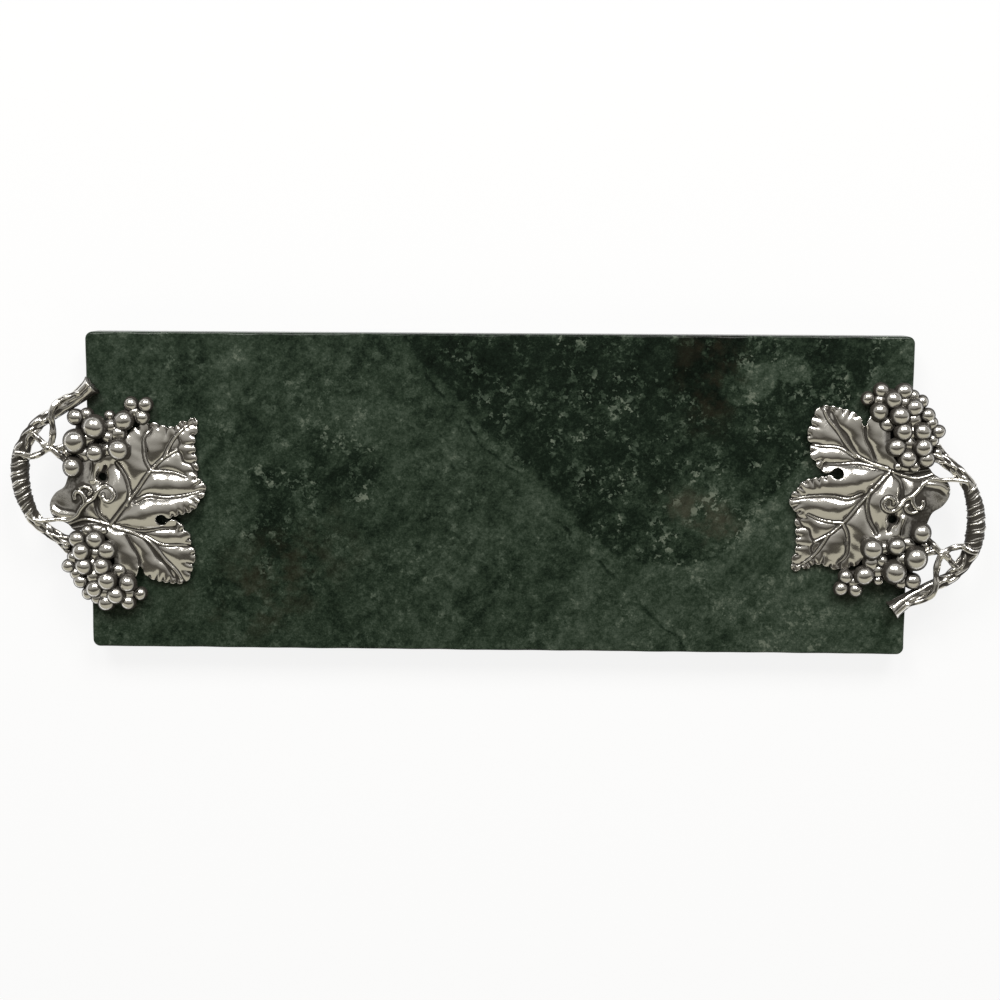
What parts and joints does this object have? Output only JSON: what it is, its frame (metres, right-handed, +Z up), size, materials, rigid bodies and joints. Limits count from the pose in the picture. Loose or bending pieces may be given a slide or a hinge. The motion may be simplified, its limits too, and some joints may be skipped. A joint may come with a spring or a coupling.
{
  "type": "marble cheese board",
  "caption": "Long rectangular dark green marble serving board on rubber feet, with a cast silver grape-vine loop handle screwed on at each end.",
  "frame": {"origin": "under the middle of the slab, on the surface that the feet stand on", "axes": "+X along the slab towards the right-hand handle, +Y across the slab, +Z up"},
  "size_m": [0.5391, 0.1778, 0.0355],
  "materials": {
    "green_marble": "honed and waxed dark green marble",
    "antiqued_silver": "polished silver plate with dark patina in the recesses",
    "screw_steel": "plain zinc-plated steel",
    "foot_rubber": "matt black rubber"
  },
  "bodies": {
    "root": {"marble_slab": "green_marble", "left_grape_leaf": "antiqued_silver", "left_vine_stem": "antiqued_silver", "left_vine_twigs": "antiqued_silver", "left_tendril": "antiqued_silver", "left_large_bunch": "antiqued_silver", "left_small_bunch": "antiqued_silver", "left_screw_1": "screw_steel", "left_screw_2": "screw_steel", "left_washer_1": "screw_steel", "left_washer_2": "screw_steel", "right_grape_leaf": "antiqued_silver", "right_vine_stem": "antiqued_silver", "right_vine_twigs": "antiqued_silver", "right_tendril": "antiqued_silver", "right_large_bunch": "antiqued_silver", "right_small_bunch": "antiqued_silver", "right_screw_1": "screw_steel", "right_screw_2": "screw_steel", "right_washer_1": "screw_steel", "right_washer_2": "screw_steel", "foot_1": "foot_rubber", "foot_2": "foot_rubber", "foot_3": "foot_rubber", "foot_4": "foot_rubber"}
  },
  "joints": []
}
